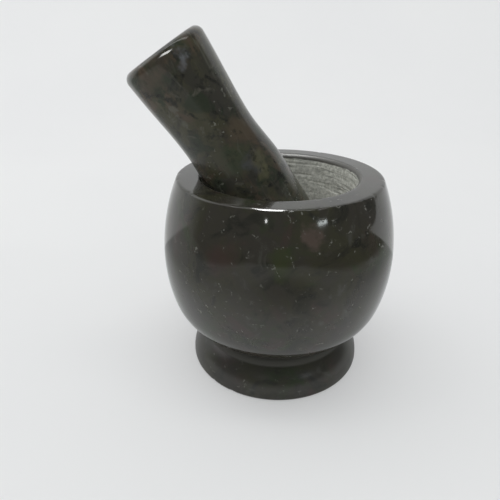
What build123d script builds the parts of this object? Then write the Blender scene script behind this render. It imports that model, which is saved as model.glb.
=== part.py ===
"""Stone mortar and pestle, in millimetres.

The origin is the centre of the foot's underside and +Z is up. The mortar is one
turned stone, so it is one revolved solid. The pestle is a second turned stone,
which leans on the mortar's left inner lip with its round end in the cavity.
"""

import math
import os

from build123d import *

# ---- mortar: driving dimensions ----
height = 88.5
bowl_radius = 50.0  # the widest point of the bowl
bowl_widest_z = 54.0
side_curve_radius = 84.0  # bowl wall, from the widest point up to the rim
belly_curve_radius = 67.5  # bowl wall, from the widest point down
belly_sweep = 16.3  # degrees of the belly curve, before it turns under
under_curve_radius = 24.0  # where the bowl turns under to the neck
rim_edge_round = 1.4

mouth_radius = 32.4  # cavity wall just under the lip
lip_round = 2.0  # polished round between the flat rim and the cavity
cavity_radius = 32.0  # round bottom of the cavity
cavity_floor_z = 28.0

foot_radius = 39.7
foot_edge_round = 1.5
foot_side_round = 16.0  # the foot's side curves in from its bottom edge up to the neck
foot_side_sweep = 60.0  # degrees
neck_radius = 30.0
neck_slope = 0.4  # rise from the foot's side to the neck

# ---- pestle: driving dimensions ----
pestle_length = 118.6
grip_end_radius = 16.7
waist_radius = 14.9
waist_from_tip = 83.0
flare_from_tip = 61.0
grinding_radius = 16.7
grip_edge_round = 3.2

# How the pestle stands: it leans to the left, its tip low in the cavity.
lean = 33.1  # degrees from vertical
lean_heading = 190.0  # degrees from +X, the way the grip end leans
rim_crossing = (-13.9, -3.1)  # where its axis passes through the rim's plane
grip_above_rim = 56.2  # along its axis, from the rim's plane to the grip end


def circle_height(radius, along):
    """Distance from a circle's middle to its edge, at a distance along it."""
    return math.sqrt(radius**2 - along**2)


# ---- mortar outline, as (radius, height) ----
side_centre_r = bowl_radius - side_curve_radius
rim_corner = (side_centre_r + circle_height(side_curve_radius, height - bowl_widest_z), height)
side_middle_z = (height + bowl_widest_z) / 2
side_middle = (
    side_centre_r + circle_height(side_curve_radius, side_middle_z - bowl_widest_z),
    side_middle_z,
)

belly_angle = math.radians(belly_sweep)
belly_centre_r = bowl_radius - belly_curve_radius
belly_end = (
    belly_centre_r + belly_curve_radius * math.cos(belly_angle),
    bowl_widest_z - belly_curve_radius * math.sin(belly_angle),
)
belly_middle = (
    belly_centre_r + belly_curve_radius * math.cos(belly_angle / 2),
    bowl_widest_z - belly_curve_radius * math.sin(belly_angle / 2),
)

under_centre = (
    belly_end[0] - under_curve_radius * math.cos(belly_angle),
    belly_end[1] + under_curve_radius * math.sin(belly_angle),
)
neck_top = (
    neck_radius,
    under_centre[1] - circle_height(under_curve_radius, neck_radius - under_centre[0]),
)
under_middle = (
    under_centre[0] + under_curve_radius * math.cos(math.radians(-50)),
    under_centre[1] + under_curve_radius * math.sin(math.radians(-50)),
)

def on_foot_side(degrees):
    """A point on the foot's side, by the angle turned up from its widest circle."""
    turned = math.radians(degrees)
    return (
        foot_radius - foot_side_round * (1 - math.cos(turned)),
        foot_edge_round + foot_side_round * math.sin(turned),
    )


foot_middle = on_foot_side(foot_side_sweep / 2)
foot_top = on_foot_side(foot_side_sweep)
neck_bottom = (neck_radius, foot_top[1] + neck_slope)

cavity_centre_z = cavity_floor_z + cavity_radius
lip_bottom_z = height - lip_round

with BuildPart() as mortar:
    with BuildSketch(Plane.XZ):
        with BuildLine():
            # foot
            Line((0, 0), (foot_radius - foot_edge_round, 0))
            RadiusArc(
                (foot_radius - foot_edge_round, 0),
                (foot_radius, foot_edge_round),
                -foot_edge_round,
            )
            ThreePointArc((foot_radius, foot_edge_round), foot_middle, foot_top)
            # neck groove
            Line(foot_top, neck_bottom)
            Line(neck_bottom, neck_top)
            # bowl
            ThreePointArc(neck_top, under_middle, belly_end)
            ThreePointArc(belly_end, belly_middle, (bowl_radius, bowl_widest_z))
            ThreePointArc((bowl_radius, bowl_widest_z), side_middle, rim_corner)
            # flat rim and round lip
            Line(rim_corner, (mouth_radius + lip_round, height))
            RadiusArc(
                (mouth_radius + lip_round, height),
                (mouth_radius, lip_bottom_z),
                lip_round,
            )
            # cavity
            Line((mouth_radius, lip_bottom_z), (cavity_radius, cavity_centre_z))
            RadiusArc(
                (cavity_radius, cavity_centre_z),
                (0, cavity_floor_z),
                cavity_radius,
            )
            Line((0, cavity_floor_z), (0, 0))
        make_face()
    revolve(axis=Axis.Z)
    rim_edges = mortar.edges().filter_by(GeomType.CIRCLE).group_by(Axis.Z)[-1]
    fillet(rim_edges.sort_by(SortBy.RADIUS)[-1], rim_edge_round)

# ---- pestle outline, as (radius, distance from the tip) ----
lean_angle = math.radians(lean)
heading = math.radians(lean_heading)
pestle_axis = Vector(
    math.sin(lean_angle) * math.cos(heading),
    math.sin(lean_angle) * math.sin(heading),
    math.cos(lean_angle),
)
crossing = Vector(rim_crossing[0], rim_crossing[1], height)
tip = crossing - pestle_axis * (pestle_length - grip_above_rim)
pestle_plane = Plane(origin=tip, x_dir=Vector(0, 0, 1).cross(pestle_axis), z_dir=pestle_axis)
outline_plane = Plane(
    origin=tip,
    x_dir=pestle_plane.x_dir,
    z_dir=pestle_plane.x_dir.cross(pestle_axis),
)

with BuildPart() as pestle:
    with BuildSketch(outline_plane):
        with BuildLine():
            # round grinding end, flare, waist and grip
            RadiusArc((0, 0), (grinding_radius, grinding_radius), -grinding_radius)
            Spline(
                (grinding_radius, grinding_radius),
                (grinding_radius, flare_from_tip),
                (waist_radius, waist_from_tip),
                (grip_end_radius, pestle_length - grip_edge_round),
                tangents=((0, 1), (0, 1)),
            )
            RadiusArc(
                (grip_end_radius, pestle_length - grip_edge_round),
                (grip_end_radius - grip_edge_round, pestle_length),
                -grip_edge_round,
            )
            Line((grip_end_radius - grip_edge_round, pestle_length), (0, pestle_length))
            Line((0, pestle_length), (0, 0))
        make_face()
    revolve(axis=Axis(tip, pestle_axis))

mortar.part.label = "mortar"
pestle.part.label = "pestle"

os.makedirs("parts", exist_ok=True)
export_step(mortar.part, "parts/mortar.step")
export_step(pestle.part, "parts/pestle.step")
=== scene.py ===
"""Looks of the stone mortar and pestle, in metres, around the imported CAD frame.

Both CAD nodes are replaced by finely turned meshes of the same shape: worked
stone is never quite true, the cavity keeps its tool marks, and the polished
edges have small chips.
"""

import math

import bpy
import numpy as np
from mathutils import Matrix, Vector, noise


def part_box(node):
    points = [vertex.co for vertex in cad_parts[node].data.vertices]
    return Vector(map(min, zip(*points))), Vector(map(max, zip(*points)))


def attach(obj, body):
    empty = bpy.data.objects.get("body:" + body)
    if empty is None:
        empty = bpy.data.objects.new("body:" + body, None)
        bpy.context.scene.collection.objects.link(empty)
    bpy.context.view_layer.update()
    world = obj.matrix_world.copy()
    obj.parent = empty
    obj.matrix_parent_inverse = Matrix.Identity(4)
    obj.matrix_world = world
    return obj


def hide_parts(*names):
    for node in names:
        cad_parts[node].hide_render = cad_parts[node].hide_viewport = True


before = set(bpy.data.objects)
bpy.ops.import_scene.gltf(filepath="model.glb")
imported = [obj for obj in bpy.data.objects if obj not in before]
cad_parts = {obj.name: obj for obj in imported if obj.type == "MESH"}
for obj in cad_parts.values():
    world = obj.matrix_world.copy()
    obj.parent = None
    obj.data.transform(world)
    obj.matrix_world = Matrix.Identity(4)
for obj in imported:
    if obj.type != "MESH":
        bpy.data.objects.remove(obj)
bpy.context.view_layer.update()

MM = 0.001

# ---- shape, as in the CAD model ----
mortar_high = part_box("mortar")[1]
bowl_radius = mortar_high.x
height = mortar_high.z
bowl_widest_z = 54.0 * MM
side_curve_radius = 84.0 * MM
belly_curve_radius = 67.5 * MM
belly_sweep = math.radians(16.3)
under_curve_radius = 24.0 * MM
rim_edge_round = 1.4 * MM
mouth_radius = 32.4 * MM
lip_round = 2.0 * MM
cavity_radius = 32.0 * MM
cavity_floor_z = 28.0 * MM
foot_radius = 39.7 * MM
foot_edge_round = 1.5 * MM
foot_side_round = 16.0 * MM
foot_side_sweep = math.radians(60.0)
neck_radius = 30.0 * MM
neck_slope = 0.4 * MM

pestle_length = 118.6 * MM
grip_end_radius = 16.7 * MM
waist_radius = 14.9 * MM
waist_from_tip = 83.0 * MM
flare_from_tip = 61.0 * MM
grinding_radius = 16.7 * MM
grip_edge_round = 3.2 * MM
lean = math.radians(33.1)
lean_heading = math.radians(190.0)
rim_crossing = Vector((-13.9 * MM, -3.1 * MM, height))
grip_above_rim = 56.2 * MM


# ---- outlines ----
def arc(centre, radius, start, end, step):
    """Points on an arc, angles in radians from the outward direction, without its last point."""
    count = max(2, round(abs(end - start) * radius / step))
    angles = np.linspace(start, end, count, endpoint=False)
    return np.stack([centre[0] + radius * np.cos(angles), centre[1] + radius * np.sin(angles)], 1)


def straight(start, end, step):
    """Points on a straight run, without its last point."""
    run = np.subtract(end, start)
    count = max(1, round(float(np.hypot(*run)) / step))
    return start + np.linspace(0, 1, count, endpoint=False)[:, None] * run


def mortar_outline():
    """(radius, height) from the middle of the foot's underside round to the cavity's floor."""
    quarter = math.pi / 2
    belly_centre = (bowl_radius - belly_curve_radius, bowl_widest_z)
    under_reach = belly_curve_radius - under_curve_radius
    under_centre = (
        belly_centre[0] + under_reach * math.cos(belly_sweep),
        belly_centre[1] - under_reach * math.sin(belly_sweep),
    )
    neck_angle = -math.acos((neck_radius - under_centre[0]) / under_curve_radius)
    neck_top = (neck_radius, under_centre[1] + under_curve_radius * math.sin(neck_angle))
    foot_side_centre = (foot_radius - foot_side_round, foot_edge_round)
    foot_top = (
        foot_side_centre[0] + foot_side_round * math.cos(foot_side_sweep),
        foot_side_centre[1] + foot_side_round * math.sin(foot_side_sweep),
    )
    neck_bottom = (neck_radius, foot_top[1] + neck_slope)

    # the rim's outer edge: a round between the bowl's wall and the flat rim
    side_centre = (bowl_radius - side_curve_radius, bowl_widest_z)
    edge_z = height - rim_edge_round
    edge_reach = side_curve_radius - rim_edge_round
    edge_angle = math.asin((edge_z - side_centre[1]) / edge_reach)
    edge_centre = (side_centre[0] + edge_reach * math.cos(edge_angle), edge_z)
    lip_centre = (mouth_radius + lip_round, height - lip_round)
    cavity_centre = (0.0, cavity_floor_z + cavity_radius)

    fine, medium, coarse = 0.25 * MM, 0.8 * MM, 1.4 * MM
    return np.concatenate([
        straight((0.4 * MM, 0), (foot_radius - foot_edge_round, 0), 4 * MM),
        arc((foot_radius - foot_edge_round, foot_edge_round), foot_edge_round, -quarter, 0, fine),
        arc(foot_side_centre, foot_side_round, 0, foot_side_sweep, medium),
        straight(foot_top, neck_bottom, medium),
        straight(neck_bottom, neck_top, medium),
        arc(under_centre, under_curve_radius, neck_angle, -belly_sweep, coarse),
        arc(belly_centre, belly_curve_radius, -belly_sweep, 0, coarse),
        arc(side_centre, side_curve_radius, 0, edge_angle, coarse),
        arc(edge_centre, rim_edge_round, edge_angle, quarter, fine),
        straight((edge_centre[0], height), (lip_centre[0], height), medium),
        arc(lip_centre, lip_round, quarter, math.pi, 1.2 * fine),
        straight((mouth_radius, lip_centre[1]), (cavity_radius, cavity_centre[1]), 0.42 * MM),
        arc(cavity_centre, cavity_radius, 0, -quarter + 0.012, 0.75 * MM),
    ])


def pestle_outline():
    """(radius, distance from the tip) from the tip to the middle of the grip's end."""
    quarter = math.pi / 2
    edge_start = pestle_length - grip_edge_round
    knots_t = np.array([grinding_radius, flare_from_tip, waist_from_tip, edge_start])
    knots_r = np.array([grinding_radius, grinding_radius, waist_radius, grip_end_radius])
    slopes = np.array([0.0, 0.0, 0.012, 0.03])
    t = np.arange(grinding_radius, edge_start, 0.8 * MM)
    k = np.clip(np.searchsorted(knots_t, t, side="right") - 1, 0, 2)
    span = (knots_t[k + 1] - knots_t[k])
    x = (t - knots_t[k]) / span
    r = (
        (2 * x**3 - 3 * x**2 + 1) * knots_r[k]
        + (x**3 - 2 * x**2 + x) * span * slopes[k]
        + (3 * x**2 - 2 * x**3) * knots_r[k + 1]
        + (x**3 - x**2) * span * slopes[k + 1]
    )
    edge_centre = (grip_end_radius - grip_edge_round, edge_start)
    return np.concatenate([
        arc((0, grinding_radius), grinding_radius, -quarter + 0.02, 0, 0.6 * MM),
        np.stack([r, t], 1),
        arc(edge_centre, grip_edge_round, 0, quarter, 0.35 * MM),
        straight((edge_centre[0], pestle_length), (0.4 * MM, pestle_length), 1.5 * MM),
    ])


# ---- turned meshes ----
def lathe(name, outline, segments, relief):
    """A closed turned mesh. relief(points) gives each point's move along its normal."""
    rings = len(outline)
    ahead = np.roll(outline, -1, 0)
    behind = np.roll(outline, 1, 0)
    ahead[-1] = outline[-1]
    behind[0] = outline[0]
    along = ahead - behind
    along /= np.linalg.norm(along, axis=1)[:, None]
    turn = np.linspace(0, 2 * math.pi, segments, endpoint=False)
    c, s = np.cos(turn)[None, :], np.sin(turn)[None, :]
    r, z = outline[:, :1], outline[:, 1:]
    points = np.stack([r * c, r * s, z + 0 * c], -1).reshape(-1, 3)
    normals = np.stack([along[:, 1:] * c, along[:, 1:] * s, -along[:, :1] + 0 * c], -1)
    points = points + normals.reshape(-1, 3) * relief(points)[:, None]

    ring, seg = np.meshgrid(np.arange(rings - 1), np.arange(segments), indexing="ij")
    nxt = (seg + 1) % segments
    a, b = ring * segments + seg, ring * segments + nxt
    quads = np.stack([a, b, b + segments, a + segments], -1).reshape(-1, 4)
    faces = quads.tolist()
    faces.append(list(range(segments - 1, -1, -1)))
    faces.append([(rings - 1) * segments + i for i in range(segments)])
    mesh = bpy.data.meshes.new(name)
    mesh.from_pydata(points.tolist(), [], faces)
    mesh.polygons.foreach_set("use_smooth", [True] * len(mesh.polygons))
    mesh.update()
    piece = bpy.data.objects.new(name, mesh)
    bpy.context.scene.collection.objects.link(piece)
    return piece


def field(points, size, seed):
    """Smooth noise from -1 to 1 at each point, with features of about this size."""
    shift = Vector((seed * 7.3, seed * -3.1, seed * 5.7))
    return np.array([noise.noise(Vector(p) / size + shift) for p in points])


def ramp(x, low, high):
    """0 below low, 1 above high, smooth between."""
    t = np.clip((x - low) / (high - low), 0, 1)
    return t * t * (3 - 2 * t)


def chips(points, centres, width, depth):
    """Small hollows round the given places."""
    out = np.zeros(len(points))
    for centre, scale in centres:
        distance = np.linalg.norm(points - centre, axis=1) / (width * scale)
        near = distance < 3
        out[near] -= depth * scale * np.exp(-(distance[near] ** 2))
    return out


def rim_places(radius, z, count, seed):
    """Places scattered round an edge, each with its own size."""
    random = np.random.default_rng(seed)
    turns = random.uniform(0, 2 * math.pi, count)
    scales = random.uniform(0.5, 1.2, count)
    return [
        (np.array([radius * math.cos(a), radius * math.sin(a), z]), s) for a, s in zip(turns, scales)
    ]


def mortar_relief(points):
    """Polishing waves outside, tool marks in the cavity, chips on the edges."""
    slow_wave, small_wave = 0.05 * MM, 0.015 * MM
    groove_pitch, groove_depth, grit_height = 0.95 * MM, 0.30 * MM, 0.12 * MM
    chip_width, chip_depth = 0.75 * MM, 0.22 * MM

    radius = np.hypot(points[:, 0], points[:, 1])
    turn = np.arctan2(points[:, 1], points[:, 0])
    inside = (radius < mouth_radius + 0.3 * MM) & (points[:, 2] > cavity_floor_z - MM)
    rough = inside * ramp(height - points[:, 2], 2.0 * MM, 2.6 * MM)

    # polished outside: nearly true, with the slow waves that hand polishing leaves
    move = slow_wave * field(points, 17 * MM, 1) + small_wave * field(points, 6 * MM, 2)
    underside = ramp(points[:, 2], 0.2 * MM, 1.5 * MM)
    move *= underside * (1 - rough)

    # cavity: grooves left by the tool, which run round it and fade in and out
    depth = np.where(
        points[:, 2] > cavity_floor_z + cavity_radius,
        height - points[:, 2],
        height - cavity_floor_z - cavity_radius
        + cavity_radius * np.arccos(np.clip(radius / cavity_radius, 0, 1)),
    )
    wander = np.stack([np.cos(turn) * 1.3, np.sin(turn) * 1.3, depth / (9 * MM)], 1)
    wobble = np.array([noise.noise(Vector(p) + Vector((5, 2, 9))) for p in wander[inside]])
    lines = np.stack([np.cos(turn[inside]) * 2.2, np.sin(turn[inside]) * 2.2,
                      (depth[inside] + 1.1 * MM * wobble) / groove_pitch], 1)
    groove = np.array([noise.noise(Vector(p)) for p in lines])
    fading = [noise.noise(Vector(p) * 1.7 + Vector((1, 8, 3))) for p in wander[inside]]
    fade = 0.5 + 0.5 * np.array(fading)
    grit = field(points[inside], 1.1 * MM, 5)
    cut = np.zeros(len(points))
    cut[inside] = -groove_depth * ramp(groove, 0.05, 0.45) * (0.35 + fade) + grit_height * grit
    move += cut * rough

    # a few small chips on the polished edges
    edge = rim_places(42.4 * MM, height - 0.3 * MM, 15, 4)
    edge += rim_places(32.9 * MM, height - 1.2 * MM, 22, 9)
    foot = rim_places(foot_radius - 0.2 * MM, 0.6 * MM, 9, 6)
    return move + chips(points, edge + foot, chip_width, chip_depth)


def pestle_relief(points):
    """Polishing waves, and a pitted grinding end that is worn back a little."""
    slow_wave, small_wave = 0.09 * MM, 0.025 * MM
    pit_height, worn_back = 0.10 * MM, 0.08 * MM
    rough = 1 - ramp(points[:, 2], 20 * MM, 34 * MM)
    move = slow_wave * field(points, 15 * MM, 11) + small_wave * field(points, 5 * MM, 12)
    move += rough * (pit_height * field(points, 1.4 * MM, 13) - worn_back)
    return move


mortar_segments, pestle_segments = 360, 300
mortar = lathe("mortar_stone", mortar_outline(), mortar_segments, mortar_relief)
pestle = lathe("pestle_stone", pestle_outline(), pestle_segments, pestle_relief)

# the pestle is turned upright and then leant into place
pestle_axis = Vector((
    math.sin(lean) * math.cos(lean_heading),
    math.sin(lean) * math.sin(lean_heading),
    math.cos(lean),
))
tip = rim_crossing - pestle_axis * (pestle_length - grip_above_rim)
across = Vector((0, 0, 1)).cross(pestle_axis).normalized()
turn = Matrix((across, pestle_axis.cross(across), pestle_axis)).transposed()
pestle.data.transform(Matrix.Translation(tip) @ turn.to_4x4())


# ---- materials ----
class Nodes:
    """A short way to add and link shader nodes."""

    def __init__(self, name):
        self.material = bpy.data.materials.new(name)
        self.material.use_nodes = True
        self.tree = self.material.node_tree
        self.shader = self.tree.nodes["Principled BSDF"]
        self.place = self.add("ShaderNodeTexCoord").outputs["Object"]

    def add(self, kind, inputs=None, **settings):
        node = self.tree.nodes.new(kind)
        for key, value in settings.items():
            setattr(node, key, value)
        for key, value in (inputs or {}).items():
            self.feed(node.inputs[key], value)
        return node

    def feed(self, socket, value):
        if isinstance(value, bpy.types.NodeSocket):
            self.tree.links.new(value, socket)
        else:
            socket.default_value = value

    def math(self, operation, a, b=0.0):
        return self.add("ShaderNodeMath", {0: a, 1: b}, operation=operation).outputs[0]

    def vector(self, operation, a, b):
        return self.add("ShaderNodeVectorMath", {0: a, 1: b}, operation=operation)

    def times(self, *values):
        product = values[0]
        for value in values[1:]:
            product = self.math("MULTIPLY", product, value)
        return product

    def noise(self, scale, detail=3.0, roughness=0.5, distortion=0.0, place=None):
        inputs = {
            "Vector": place or self.place,
            "Scale": scale,
            "Detail": detail,
            "Roughness": roughness,
            "Distortion": distortion,
        }
        return self.add("ShaderNodeTexNoise", inputs).outputs["Fac"]

    def step(self, value, low, high, out_low=0.0, out_high=1.0):
        inputs = {
            "Value": value,
            "From Min": low,
            "From Max": high,
            "To Min": out_low,
            "To Max": out_high,
        }
        node = self.add("ShaderNodeMapRange", inputs, interpolation_type="SMOOTHSTEP")
        return node.outputs["Result"]

    def mix(self, factor, a, b):
        node = self.add("ShaderNodeMix", data_type="RGBA")
        self.feed(node.inputs["Factor"], factor)
        self.feed(node.inputs[6], a)
        self.feed(node.inputs[7], b)
        return node.outputs[2]

    def blend(self, factor, a, b):
        node = self.add("ShaderNodeMix", data_type="FLOAT")
        self.feed(node.inputs["Factor"], factor)
        self.feed(node.inputs[2], a)
        self.feed(node.inputs[3], b)
        return node.outputs[0]

    def moved(self, shift, scale=(1, 1, 1), turned=(0, 0, 0), place=None):
        inputs = {
            "Vector": place or self.place,
            "Location": shift,
            "Scale": scale,
            "Rotation": turned,
        }
        return self.add("ShaderNodeMapping", inputs).outputs["Vector"]

    def warped(self, place, scale, amount):
        """The place pushed about by noise, so that what is drawn on it has ragged edges."""
        noise = self.add("ShaderNodeTexNoise", {"Vector": place, "Scale": scale, "Detail": 3.0})
        centred = self.vector("SUBTRACT", noise.outputs["Color"], (0.5, 0.5, 0.5))
        push = self.vector("MULTIPLY", centred.outputs[0], (amount, amount, amount))
        return self.vector("ADD", place, push.outputs[0]).outputs[0]

    def near(self, place, centre, inner, outer):
        """1 within the inner distance of a point, 0 beyond the outer one."""
        gap = self.vector("DISTANCE", place, tuple(centre))
        return self.step(gap.outputs["Value"], outer, inner)

    def fissures(self, place, size, width, patches):
        """Short broken hairlines: cell borders that show only inside small scattered patches."""
        cells = self.add(
            "ShaderNodeTexVoronoi",
            {"Vector": self.warped(place, 2.0 / size, 0.45 * size), "Scale": 1.0 / size},
            feature="DISTANCE_TO_EDGE",
        )
        line = self.step(cells.outputs["Distance"], width / size, 0.2 * width / size)
        islands = self.step(self.noise(1.3 / size, 1.0, 0.5, 0.0, place), 0.61, 0.68)
        broken = self.step(self.noise(1.1 / MM, 2.0, 0.6, 0.0, place), 0.42, 0.60)
        return self.times(line, islands, broken, patches)


# a cloud is (tint, scale, noise where it starts, noise where it is full)
# a patch is (middle, solid radius, outer radius, tint, cover)
def mottled(n, place, ground, tints):
    """A dark ground with soft clouds of other tints."""
    colour = ground
    for i, (tint, scale, low, high) in enumerate(tints):
        cloud = n.noise(scale, 5.0, 0.62, 0.8, n.moved((0.31 * i, 0.17 * i, -0.23 * i), place=place))
        colour = n.mix(n.step(cloud, low, high), colour, tint)
    return colour


def patched(n, place, colour, patches):
    """Lays single larger patches over the colour: patches of other stone, and painted reflections and
    sheen.
    """
    for centre, inner, outer, tint, cover in patches:
        mask = n.math("MULTIPLY", n.near(place, centre, inner, outer), cover)
        colour = n.mix(mask, colour, tint)
    return colour


def on_bowl(turned, z):
    """A place on the bowl's wall over its widest point, by its turn in degrees and its height."""
    radius = bowl_radius - side_curve_radius + math.sqrt(side_curve_radius**2 - (z - bowl_widest_z) ** 2)
    turned = math.radians(turned)
    return (radius * math.cos(turned), radius * math.sin(turned), z)


def mortar_material():
    n = Nodes("mortar_stone")
    place = n.moved((0.3, 0.1, 0.2))
    tints = [
        ((0.034, 0.033, 0.020, 1), 42, 0.42, 0.64),
        ((0.044, 0.030, 0.026, 1), 40, 0.52, 0.68),
        ((0.026, 0.035, 0.016, 1), 44, 0.53, 0.68),
        ((0.018, 0.018, 0.014, 1), 90, 0.50, 0.70),
        ((0.050, 0.049, 0.040, 1), 130, 0.56, 0.72),
    ]
    polished = mottled(n, place, (0.033, 0.030, 0.024, 1), tints)
    ragged = n.warped(n.place, 160, 12 * MM)
    # painted reflections: the first patch, pinkish brown, is a painted reflection of a wall beside the
    # window; the reddish and the greenish ones are painted reflections of coloured things in the room
    patches = [
        (on_bowl(-75.0, 79.3 * MM), 2.0 * MM, 5.5 * MM, (0.078, 0.058, 0.048, 1), 0.85),
        (on_bowl(-114.5, 70.5 * MM), 2.0 * MM, 9.0 * MM, (0.050, 0.030, 0.028, 1), 0.55),
        (on_bowl(-87.5, 71.0 * MM), 2.0 * MM, 8.0 * MM, (0.032, 0.041, 0.014, 1), 0.65),
    ]
    polished = patched(n, ragged, polished, patches)

    # broken pale hairlines in groups, and specks
    groups = n.math(
        "MAXIMUM",
        n.near(ragged, on_bowl(-87.5, 82.0 * MM), 4 * MM, 9 * MM),
        n.step(n.noise(24, 2.0, 0.5, 0.0, place), 0.46, 0.60),
    )
    fissure = n.fissures(place, 3.8 * MM, 0.34 * MM, groups)
    speck_cells = n.add("ShaderNodeTexVoronoi", {"Vector": place, "Scale": 150.0}, feature="F1")
    speck = n.times(
        n.step(speck_cells.outputs["Distance"], 0.085, 0.05),
        n.step(n.noise(90, 1.0, 0.5, 0.0, place), 0.58, 0.64),
    )
    pale = n.math("MAXIMUM", fissure, speck)
    polished = n.mix(n.math("MULTIPLY", pale, 0.55), polished, (0.19, 0.19, 0.16, 1))

    # the cavity: ground stone, pale with dust, with darker tool marks and grains
    split = n.add("ShaderNodeSeparateXYZ", {"Vector": n.place})
    x, y, z = (split.outputs[axis] for axis in "XYZ")
    radius = n.math("SQRT", n.math("ADD", n.times(x, x), n.times(y, y)))
    uneven = n.math("MULTIPLY", n.math("SUBTRACT", n.noise(260), 0.5), 1.2 * MM)
    below_rim = n.math("ADD", n.math("SUBTRACT", height, z), uneven)
    deepest = n.step(y, 0, 24 * MM, 1.4 * MM, 2.0 * MM)
    rough = n.times(
        n.step(radius, mouth_radius + 0.5 * MM, mouth_radius + 0.2 * MM),
        n.step(n.math("SUBTRACT", below_rim, deepest), -0.3 * MM, 0.4 * MM),
        n.step(z, cavity_floor_z - 2 * MM, cavity_floor_z - 1 * MM),
    )
    lip = n.step(radius, mouth_radius + 1.8 * MM, mouth_radius + 1.0 * MM)
    polished = n.mix(n.math("MULTIPLY", lip, 0.8), polished, (0.095, 0.092, 0.078, 1))
    dusty = n.step(n.noise(700, 3.0, 0.7), 0.35, 0.65)
    worn = n.mix(dusty, (0.50, 0.50, 0.44, 1), (0.78, 0.775, 0.70, 1))
    rings = n.noise(1, 2.0, 0.5, 0.0, n.moved((0, 0, 0), (22, 22, 330)))
    off_line = n.math("ABSOLUTE", n.math("SUBTRACT", rings, 0.5))
    tool_mark = n.times(n.step(off_line, 0.032, 0.006), n.step(n.noise(70), 0.40, 0.56))
    worn = n.mix(n.math("MULTIPLY", tool_mark, 0.65), worn, (0.13, 0.135, 0.115, 1))
    cloud = n.noise(45, 3.0)
    worn = n.mix(n.step(cloud, 0.50, 0.75, 0.0, 0.6), worn, (0.34, 0.35, 0.32, 1))
    n.feed(n.shader.inputs["Base Color"], n.mix(rough, polished, worn))

    # the foot and the lip are less polished than the bowl
    polish = n.step(n.noise(55, 4.0, 0.6, 0.4, place), 0.3, 0.75, 0.06, 0.12)
    polish = n.math("ADD", polish, n.step(z, 20 * MM, 17 * MM, 0.0, 0.22))
    polish = n.math("ADD", polish, n.math("MULTIPLY", lip, 0.4))
    polish = n.math("ADD", polish, n.math("MULTIPLY", pale, 0.3))
    n.feed(n.shader.inputs["Roughness"], n.blend(rough, polish, 0.8))
    n.shader.inputs["IOR"].default_value = 1.55

    grain = n.times(n.noise(1500, 4.0, 0.7), rough)
    relief = n.math("SUBTRACT", grain, n.math("MULTIPLY", pale, 0.35))
    bump = n.add("ShaderNodeBump", {"Height": relief, "Strength": 0.6, "Distance": 0.25 * MM})
    n.feed(n.shader.inputs["Normal"], bump.outputs["Normal"])
    return n.material


def on_pestle(from_tip, turned):
    """A place near the pestle's surface, by its distance from the tip and its turn in degrees."""
    mean_radius = 15.6 * MM
    turned = math.radians(turned)
    return tip + pestle_axis * from_tip + mean_radius * (
        across * math.cos(turned) + pestle_axis.cross(across) * math.sin(turned)
    )


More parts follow.
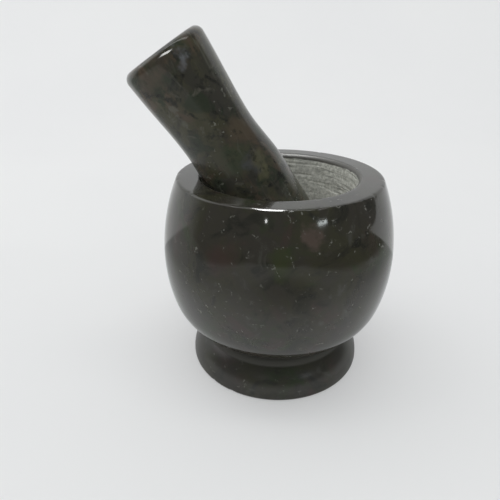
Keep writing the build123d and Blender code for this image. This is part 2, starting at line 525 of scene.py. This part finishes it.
def pestle_material():
    n = Nodes("pestle_stone")
    place = n.moved((1.7, 0.4, 0.9))
    tints = [
        ((0.050, 0.048, 0.028, 1), 66, 0.45, 0.57),
        ((0.066, 0.050, 0.034, 1), 56, 0.51, 0.61),
        ((0.028, 0.034, 0.021, 1), 80, 0.52, 0.61),
        ((0.017, 0.017, 0.013, 1), 120, 0.54, 0.66),
        ((0.085, 0.080, 0.062, 1), 150, 0.57, 0.70),
    ]
    polished = mottled(n, place, (0.036, 0.034, 0.026, 1), tints)

    # veins that run along the stone
    aligned = n.moved((0, 0, 0), (1, 1, 1), (0, lean, 0))
    streaks = n.noise(1, 4.0, 0.62, 0.5, n.moved((0, 0, 0), (260, 260, 52), place=aligned))
    polished = n.mix(n.step(streaks, 0.56, 0.72, 0.0, 0.5), polished, (0.10, 0.10, 0.078, 1))
    polished = n.mix(n.step(streaks, 0.42, 0.32, 0.0, 0.6), polished, (0.018, 0.018, 0.015, 1))

    # the larger patches of other stone, and a painted sheen: the pale bluish patch by the grip's end
    ragged = n.warped(n.place, 160, 14 * MM)
    patches = [
        (on_pestle(81.5 * MM, 36), 2.5 * MM, 9.0 * MM, (0.075, 0.056, 0.036, 1), 0.7),
        (on_pestle(73.0 * MM, 8), 2.0 * MM, 7.0 * MM, (0.038, 0.050, 0.026, 1), 0.7),
        (on_pestle(70.0 * MM, 20), 1.0 * MM, 5.0 * MM, (0.060, 0.061, 0.064, 1), 0.7),
        (on_pestle(66.0 * MM, 33), 1.5 * MM, 5.5 * MM, (0.098, 0.092, 0.048, 1), 0.75),
        (on_pestle(114.0 * MM, -24), 2.0 * MM, 8.0 * MM, (0.075, 0.056, 0.040, 1), 0.6),
        # painted sheen: a pale bluish patch standing for the hazy shine near the grip's end
        (on_pestle(112.0 * MM, 22), 0.5 * MM, 4.5 * MM, (0.145, 0.150, 0.160, 1), 0.85),
    ]
    polished = patched(n, ragged, polished, patches)
    dark_fleck = n.step(n.noise(330, 3.0, 0.6), 0.58, 0.70, 0.0, 0.6)
    polished = n.mix(dark_fleck, polished, (0.016, 0.016, 0.012, 1))

    # broken pale hairlines in groups, one of them by the waist
    cluster = n.math(
        "MAXIMUM",
        n.near(ragged, on_pestle(88.0 * MM, 20), 4 * MM, 9 * MM),
        n.step(n.noise(30, 2.0, 0.5, 0.0, place), 0.52, 0.62),
    )
    fissure = n.fissures(place, 3.0 * MM, 0.42 * MM, cluster)
    polished = n.mix(n.math("MULTIPLY", fissure, 0.7), polished, (0.20, 0.20, 0.16, 1))

    # the grinding end is worn dull
    gap = n.vector("SUBTRACT", n.place, tuple(tip))
    along = n.vector("DOT_PRODUCT", gap.outputs[0], tuple(pestle_axis))
    from_tip = n.math("ADD", along.outputs["Value"], n.math("MULTIPLY", n.noise(150), 8 * MM))
    rough = n.step(from_tip, 34 * MM, 22 * MM)
    dusty = n.step(n.noise(1000, 3.0, 0.7), 0.38, 0.62)
    worn = n.mix(dusty, (0.14, 0.14, 0.12, 1), (0.34, 0.34, 0.31, 1))
    n.feed(n.shader.inputs["Base Color"], n.mix(rough, polished, worn))

    # the grip's end is the most polished
    polish = n.step(n.noise(60, 4.0, 0.6, 0.4, place), 0.3, 0.75, 0.19, 0.28)
    polish = n.math("ADD", polish, n.step(from_tip, 106 * MM, 116 * MM, 0.0, -0.10))
    polish = n.math("ADD", polish, n.math("MULTIPLY", fissure, 0.3))
    n.feed(n.shader.inputs["Roughness"], n.blend(rough, polish, 0.75))
    n.shader.inputs["IOR"].default_value = 1.55
    grain = n.times(n.noise(1400, 4.0, 0.7), rough)
    relief = n.math("SUBTRACT", grain, n.math("MULTIPLY", fissure, 0.35))
    bump = n.add("ShaderNodeBump", {"Height": relief, "Strength": 0.5, "Distance": 0.2 * MM})
    n.feed(n.shader.inputs["Normal"], bump.outputs["Normal"])
    return n.material


mortar.data.materials.append(mortar_material())
pestle.data.materials.append(pestle_material())

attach(mortar, "mortar_body")
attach(pestle, "pestle_body")
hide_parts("mortar")
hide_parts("pestle")


# ---- stage: a pale sweep, floor and back in one ----
def sheet(name, verts, faces):
    """A flat or bent sheet of the stage."""
    mesh = bpy.data.meshes.new(name)
    mesh.from_pydata(verts, [], faces)
    mesh.polygons.foreach_set("use_smooth", [True] * len(mesh.polygons))
    piece = bpy.data.objects.new(name, mesh)
    bpy.context.scene.collection.objects.link(piece)
    return piece


def only_mirrored(card):
    """Reflections show the card, the camera doesn't, and it casts no shade."""
    card.visible_camera = False
    card.visible_diffuse = False
    card.visible_shadow = False


def sweep():
    """A floor that curves up into a back wall behind the object."""
    width, front, back, wall, bend = 3.0, -1.6, 0.75, 1.6, 0.45
    bend_steps = 12
    points = [(front, 0.0), (back - bend, 0.0)]
    for i in range(1, bend_steps + 1):
        a = math.pi / 2 * i / bend_steps
        points.append((back - bend + bend * math.sin(a), bend - bend * math.cos(a)))
    points.append((back, wall))
    verts = [(x, y, z) for y, z in points for x in (-width / 2, width / 2)]
    faces = [(2 * i, 2 * i + 1, 2 * i + 3, 2 * i + 2) for i in range(len(points) - 1)]
    n = Nodes("paper")
    tone = n.mix(n.step(n.noise(3), 0.3, 0.7), (0.54, 0.54, 0.54, 1), (0.56, 0.56, 0.555, 1))
    n.feed(n.shader.inputs["Base Color"], tone)
    n.shader.inputs["Roughness"].default_value = 0.75
    n.shader.inputs["Emission Color"].default_value = (1, 1, 1, 1)
    n.shader.inputs["Emission Strength"].default_value = 0.28
    sheet("sweep", verts, faces).data.materials.append(n.material)


def dark_table():
    """What the stone mirrors in front: a shaded table, dark beyond the edges of a white sheet."""
    z, near_y, far_y, reach = 1 * MM, 0.10, -1.59, 1.45
    sheet_middle, sheet_side, dark_side = -0.01, 0.22, 0.33
    sheet_end, dark_end = -0.60, -0.64
    verts = [(-reach, far_y, z), (reach, far_y, z), (reach, near_y, z), (-reach, near_y, z)]
    card = sheet("dark_table", verts, [(0, 1, 2, 3)])
    n = Nodes("dark_table")
    split = n.add("ShaderNodeSeparateXYZ", {"Vector": n.place})
    x, y = split.outputs["X"], split.outputs["Y"]
    from_middle = n.math("ABSOLUTE", n.math("SUBTRACT", x, sheet_middle))
    side = n.step(from_middle, sheet_side, dark_side)
    # beside the object the sheet runs on to the left
    white_left = n.times(n.step(y, -0.22, -0.02), n.step(x, 0, -0.1))
    side = n.math("MULTIPLY", side, n.math("SUBTRACT", 1.0, white_left))
    beyond = n.step(y, sheet_end, dark_end)
    edge = n.math("MAXIMUM", side, beyond)
    # the sheet is lightest round the foot, and shaded in front of it
    tone = n.mix(n.near(n.place, (0, 0, 0), 0.07, 0.20), (0.44, 0.44, 0.43, 1), (0.88, 0.88, 0.88, 1))
    shaded = n.near(n.moved((0, 0, 0), (1.0, 0.8, 1.0)), (0.03, -0.18, 0), 0.03, 0.14)
    tone = n.mix(n.math("MULTIPLY", shaded, 0.85), tone, (0.14, 0.14, 0.12, 1))
    n.feed(n.shader.inputs["Base Color"], n.mix(edge, tone, (0.04, 0.038, 0.036, 1)))
    n.shader.inputs["Roughness"].default_value = 0.8
    card.data.materials.append(n.material)
    only_mirrored(card)


def flag():
    """A dark card that keeps the window out of what the foot mirrors."""
    low, high = 0.120, 0.172
    ends = [(0.183, -0.395), (0.317, -0.298)]
    verts = [(x, y, z) for z in (low, high) for x, y in ends]
    card = sheet("flag", verts, [(0, 1, 3, 2)])
    n = Nodes("flag")
    tone = n.mix(n.step(n.noise(30), 0.3, 0.7), (0.030, 0.030, 0.030, 1), (0.036, 0.036, 0.034, 1))
    n.feed(n.shader.inputs["Base Color"], tone)
    n.shader.inputs["Roughness"].default_value = 0.8
    card.data.materials.append(n.material)
    only_mirrored(card)


sweep()
dark_table()
flag()


# ---- light ----
def soft_light(name, place, size, brightness, colour=(1, 1, 1), aim=(0, 0, 0.06)):
    """A rectangle that shines with this brightness. The camera doesn't see it."""
    data = bpy.data.lights.new(name, "AREA")
    data.shape = "RECTANGLE"
    data.size, data.size_y = size
    data.energy = brightness * math.pi * size[0] * size[1]
    data.color = colour
    light = bpy.data.objects.new(name, data)
    light.location = place
    light.rotation_euler = (Vector(aim) - Vector(place)).to_track_quat("-Z", "Y").to_euler()
    light.visible_camera = False
    bpy.context.scene.collection.objects.link(light)
    return light


soft_light("left", (-1.3, 0.25, 1.35), (1.4, 1.4), 0.8)
soft_light("wall_wash", (0.0, 0.0, 1.5), (1.6, 0.3), 2.5, aim=(0, 0.75, 0.55))

# what the polished stone mirrors of the room, each piece from its own side
mirrored = {
    mortar: [
        soft_light("ceiling", (-0.08, 0.0, 1.1), (0.80, 0.26), 32),
        soft_light("window", (0.655, -0.69, 0.34), (0.15, 0.035), 11, (0.92, 1.0, 1.0)),
        soft_light("lamp", (-0.19, -0.94, 0.42), (0.032, 0.032), 18),
    ],
    pestle: [soft_light("strip", (-0.11, -0.73, 0.73), (0.50, 0.26), 14)],
}
for piece, lights in mirrored.items():
    receivers = bpy.data.collections.new(piece.name + "_mirrors")
    receivers.objects.link(piece)
    for light in lights:
        light.visible_diffuse = False
        light.light_linking.receiver_collection = receivers

# the room: dark in front and bright behind in reflections, even for all other light
toward_bright = (-0.26, 0.966, 0.0)
mirrored_dark, mirrored_bright, even = 0.085, 0.80, 0.76
world = bpy.data.worlds.new("room")
world.use_nodes = True
tree = world.node_tree
direction = tree.nodes.new("ShaderNodeTexCoord").outputs["Generated"]
behind = tree.nodes.new("ShaderNodeVectorMath")
behind.operation = "DOT_PRODUCT"
behind.inputs[1].default_value = toward_bright
tree.links.new(direction, behind.inputs[0])
bright = tree.nodes.new("ShaderNodeMapRange")
bright.interpolation_type = "SMOOTHSTEP"
bright.inputs["From Min"].default_value = 0.05
bright.inputs["From Max"].default_value = 0.48
bright.inputs["To Min"].default_value = mirrored_dark
bright.inputs["To Max"].default_value = mirrored_bright
tree.links.new(behind.outputs["Value"], bright.inputs["Value"])
is_mirrored = tree.nodes.new("ShaderNodeLightPath").outputs["Is Glossy Ray"]
strength = tree.nodes.new("ShaderNodeMix")
strength.inputs[2].default_value = even
tree.links.new(is_mirrored, strength.inputs["Factor"])
tree.links.new(bright.outputs["Result"], strength.inputs[3])
tree.links.new(strength.outputs[0], tree.nodes["Background"].inputs["Strength"])
tree.nodes["Background"].inputs["Color"].default_value = (0.95, 0.98, 1.0, 1)
scene = bpy.context.scene
scene.world = world
scene.view_settings.view_transform = "Standard"

# ---- camera ----
camera_back, camera_height = 178.4 * MM, 141.2 * MM
camera_pitch, camera_yaw = math.radians(26.47), math.radians(3.94)
data = bpy.data.cameras.new("camera")
data.sensor_width = 36.0
data.lens = 31.48
data.clip_start = 0.01
camera = bpy.data.objects.new("camera", data)
camera.location = (0, -camera_back, camera_height)
camera.rotation_euler = (math.pi / 2 - camera_pitch, 0, camera_yaw)
scene.collection.objects.link(camera)
scene.camera = camera
